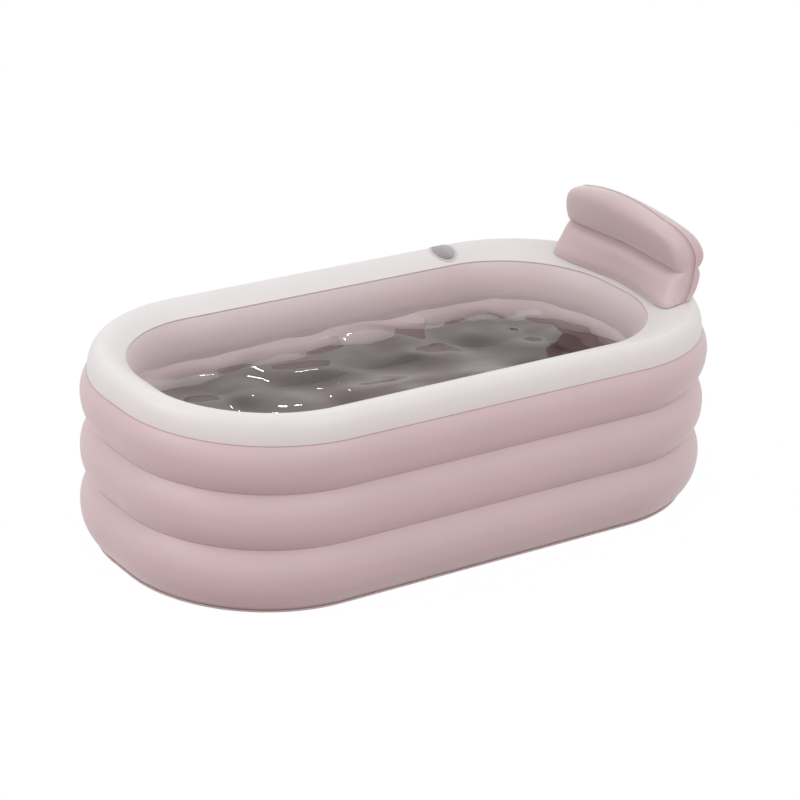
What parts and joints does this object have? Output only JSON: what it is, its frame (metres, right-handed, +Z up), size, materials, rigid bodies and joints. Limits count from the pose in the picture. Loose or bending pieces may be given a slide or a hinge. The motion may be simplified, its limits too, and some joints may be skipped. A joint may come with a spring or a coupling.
{
  "type": "inflatable bathtub",
  "caption": "Long oval inflatable bathtub of stacked air rings with a padded rim, a blow-up backrest, a cup holder, flip-cap air valves and a floor drain.",
  "frame": {"origin": "on the ground under the middle of the tub", "axes": "+X along the tub towards the backrest, +Y across towards the cup holder, +Z up"},
  "size_m": [1.4, 0.75, 0.6],
  "materials": {
    "pink_film": "satin dusty pink PVC film",
    "white_film": "satin off-white PVC film",
    "grey_film": "satin grey-brown PVC film",
    "grey_plastic": "satin grey moulded cup",
    "fitting": "soft moulded off-white PVC"
  },
  "bodies": {
    "tub": {"outer_wall_lower": "pink_film", "outer_wall_middle": "pink_film", "outer_wall_upper": "pink_film", "inner_wall_lower": "grey_film", "inner_wall_middle": "pink_film", "inner_wall_upper": "pink_film", "web_lower": "pink_film", "web_upper": "pink_film", "rim_cover": "white_film", "floor_sheet": "grey_film", "base_weld_strip": "pink_film", "cup_holder": "grey_plastic", "backrest_front": "pink_film", "backrest_back": "pink_film", "backrest_base": "pink_film", "backrest_baffle": "pink_film", "valve_seat_lower": "fitting", "valve_seat_middle": "fitting", "valve_seat_upper": "fitting", "valve_seat_backrest": "fitting", "drain_seat": "fitting"},
    "cap_lower": {"valve_cap_lower": "fitting"},
    "cap_middle": {"valve_cap_middle": "fitting"},
    "cap_upper": {"valve_cap_upper": "fitting"},
    "cap_backrest": {"valve_cap_backrest": "fitting"},
    "flap_lower": {"valve_flap_lower": "fitting"},
    "flap_middle": {"valve_flap_middle": "fitting"},
    "flap_upper": {"valve_flap_upper": "fitting"},
    "flap_backrest": {"valve_flap_backrest": "fitting"},
    "plug": {"drain_plug": "fitting"}
  },
  "joints": [
    {"name": "cap_lower_flip", "type": "hinge", "parent": "tub", "child": "cap_lower", "pos_m": [0.57717, 0.29918, 0.08509], "axis": [0.773, -0.6344, 0], "range_deg": [0, 115]},
    {"name": "cap_middle_flip", "type": "hinge", "parent": "tub", "child": "cap_middle", "pos_m": [0.57723, 0.29926, 0.2144], "axis": [0.773, -0.6344, 0], "range_deg": [0, 115]},
    {"name": "cap_upper_flip", "type": "hinge", "parent": "tub", "child": "cap_upper", "pos_m": [0.5774, 0.29947, 0.32656], "axis": [0.773, -0.6344, 0], "range_deg": [0, 115]},
    {"name": "cap_backrest_flip", "type": "hinge", "parent": "tub", "child": "cap_backrest", "pos_m": [0.65397, 0.10043, 0.47099], "axis": [0.1306, -0.9914, 0], "range_deg": [0, 115]},
    {"name": "flap_lower_swing", "type": "hinge", "parent": "tub", "child": "flap_lower", "pos_m": [0.57095, 0.2916, 0.07852], "axis": [-0.773, 0.6344, 0], "range_deg": [0, 50], "stiffness_Nm_per_rad": 0.0001},
    {"name": "flap_middle_swing", "type": "hinge", "parent": "tub", "child": "flap_middle", "pos_m": [0.5714, 0.29215, 0.207], "axis": [-0.773, 0.6344, 0], "range_deg": [0, 50], "stiffness_Nm_per_rad": 0.0001},
    {"name": "flap_upper_swing", "type": "hinge", "parent": "tub", "child": "flap_upper", "pos_m": [0.57115, 0.29185, 0.32005], "axis": [-0.773, 0.6344, 0], "range_deg": [0, 50], "stiffness_Nm_per_rad": 0.0001},
    {"name": "flap_backrest_swing", "type": "hinge", "parent": "tub", "child": "flap_backrest", "pos_m": [0.64466, 0.09921, 0.46384], "axis": [-0.1306, 0.9914, 0], "range_deg": [0, 50], "stiffness_Nm_per_rad": 0.0001},
    {"name": "drain_plug_flip", "type": "hinge", "parent": "tub", "child": "plug", "pos_m": [-0.43, -0.0695, 0.0048], "axis": [-1, 0, 0], "range_deg": [0, 115]}
  ]
}
